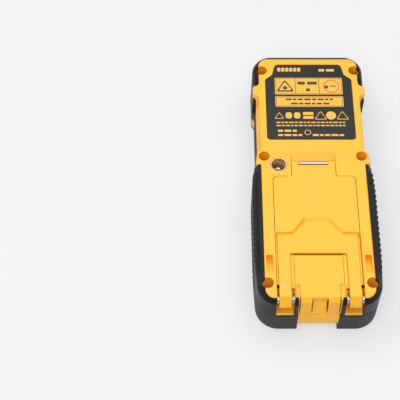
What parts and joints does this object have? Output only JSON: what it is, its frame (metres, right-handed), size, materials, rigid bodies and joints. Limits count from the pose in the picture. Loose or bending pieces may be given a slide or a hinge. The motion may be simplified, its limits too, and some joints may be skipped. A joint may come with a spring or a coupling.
{
  "type": "laser distance meter",
  "caption": "Handheld laser distance meter lying on its front, with rubber grips, a fold-out positioning foot, battery door, tripod thread, display and keypad.",
  "frame": {"origin": "centre of the overall outline, on the plane that the front rim rests on", "axes": "+X across the back panel, +Y towards the laser end, +Z out of the back panel"},
  "size_m": [0.06, 0.144, 0.029],
  "materials": {
    "yellow_plastic": "moulded, fine satin texture",
    "black_rubber": "overmoulded elastomer, satin",
    "grey_rubber": "overmoulded elastomer, matte",
    "label_film": "printed film, satin",
    "steel": "turned, satin",
    "spring_steel": "bright drawn wire",
    "screw_steel": "zinc-plated",
    "insert_brass": "machined",
    "gasket_rubber": "matte",
    "cell_jacket": "printed sleeve, satin",
    "contact_metal": "nickel-plated",
    "tray_plastic": "moulded",
    "fascia_plastic": "fine texture",
    "display_glass": "gloss, tinted",
    "display_panel": "gloss",
    "keypad_silicone": "matte",
    "key_yellow": "satin",
    "key_grey": "satin",
    "key_red": "satin",
    "circuit_board": "solder mask",
    "component_black": "moulded",
    "optic_plastic": "moulded",
    "lens_glass": "polished",
    "window_glass": "polished, tinted"
  },
  "bodies": {
    "case": {"back_shell": "yellow_plastic", "rear_top_overmould": "black_rubber", "left_rear_grip": "black_rubber", "right_rear_grip": "black_rubber", "front_shell": "yellow_plastic", "front_overmould": "grey_rubber", "case_gasket": "gasket_rubber", "case_screws": "screw_steel", "label_plate": "label_film", "tripod_insert": "insert_brass", "foot_hinge_pin_left": "steel", "foot_hinge_pin_right": "steel", "foot_spring_left": "spring_steel", "foot_spring_right": "spring_steel", "battery_tray": "tray_plastic", "aaa_cell_1": "cell_jacket", "aaa_cell_2": "cell_jacket", "aaa_cell_3": "cell_jacket", "cell_springs": "spring_steel", "cell_contact_plates": "contact_metal", "front_fascia": "fascia_plastic", "display_window": "display_glass", "display_module": "display_panel", "keypad_mat": "keypad_silicone", "main_pcb": "circuit_board", "key_domes": "contact_metal", "pcb_screws": "screw_steel", "processor_chip": "component_black", "buzzer": "component_black", "optical_block": "optic_plastic", "laser_barrel": "insert_brass", "laser_diode": "contact_metal", "collimator_lens": "lens_glass", "receiver_lens": "lens_glass", "receiver_board": "circuit_board", "photodiode": "component_black", "end_bezel": "fascia_plastic", "laser_window": "window_glass", "receiver_window": "window_glass"},
    "foot": {"positioning_foot": "yellow_plastic", "foot_wear_pin": "steel"},
    "door": {"battery_door": "yellow_plastic"},
    "latch": {"battery_latch": "yellow_plastic"},
    "measure_key": {"key_measure": "key_yellow"},
    "reference_key": {"key_reference": "key_grey"},
    "clear_key": {"key_clear": "key_red"},
    "add_key": {"key_add": "key_grey"},
    "area_key": {"key_area": "key_grey"},
    "subtract_key": {"key_subtract": "key_grey"},
    "indirect_key": {"key_indirect": "key_grey"},
    "memory_key": {"key_memory": "key_grey"},
    "timer_key": {"key_timer": "key_grey"}
  },
  "joints": [
    {"name": "foot_hinge", "type": "hinge", "parent": "case", "child": "foot", "pos_m": [0, -0.0687, 0.0253], "axis": [1, 0, 0], "range_deg": [0, 180], "stiffness_Nm_per_rad": 0.0035, "springref_deg": -34.38},
    {"name": "door_hinge", "type": "hinge", "parent": "case", "child": "door", "pos_m": [0, -0.0474, 0.02495], "axis": [-1, 0, 0], "range_deg": [0, 90]},
    {"name": "latch_flex", "type": "hinge", "parent": "door", "child": "latch", "pos_m": [0, -0.07045, 0.0168], "axis": [-1, 0, 0], "range_deg": [0, 8], "stiffness_Nm_per_rad": 0.08, "springref_deg": -2.86},
    {"name": "measure_press", "type": "slide", "parent": "case", "child": "measure_key", "axis": [0, 0, 1], "range_m": [0, 0.0007], "stiffness_N_per_m": 1500, "springref_m": -0.0004},
    {"name": "reference_press", "type": "slide", "parent": "case", "child": "reference_key", "axis": [0, 0, 1], "range_m": [0, 0.0007], "stiffness_N_per_m": 1200, "springref_m": -0.0004},
    {"name": "clear_press", "type": "slide", "parent": "case", "child": "clear_key", "axis": [0, 0, 1], "range_m": [0, 0.0007], "stiffness_N_per_m": 1200, "springref_m": -0.0004},
    {"name": "add_press", "type": "slide", "parent": "case", "child": "add_key", "axis": [0, 0, 1], "range_m": [0, 0.0007], "stiffness_N_per_m": 1200, "springref_m": -0.0004},
    {"name": "area_press", "type": "slide", "parent": "case", "child": "area_key", "axis": [0, 0, 1], "range_m": [0, 0.0007], "stiffness_N_per_m": 1200, "springref_m": -0.0004},
    {"name": "subtract_press", "type": "slide", "parent": "case", "child": "subtract_key", "axis": [0, 0, 1], "range_m": [0, 0.0007], "stiffness_N_per_m": 1200, "springref_m": -0.0004},
    {"name": "indirect_press", "type": "slide", "parent": "case", "child": "indirect_key", "axis": [0, 0, 1], "range_m": [0, 0.0007], "stiffness_N_per_m": 1200, "springref_m": -0.0004},
    {"name": "memory_press", "type": "slide", "parent": "case", "child": "memory_key", "axis": [0, 0, 1], "range_m": [0, 0.0007], "stiffness_N_per_m": 1200, "springref_m": -0.0004},
    {"name": "timer_press", "type": "slide", "parent": "case", "child": "timer_key", "axis": [0, 0, 1], "range_m": [0, 0.0007], "stiffness_N_per_m": 1200, "springref_m": -0.0004}
  ]
}
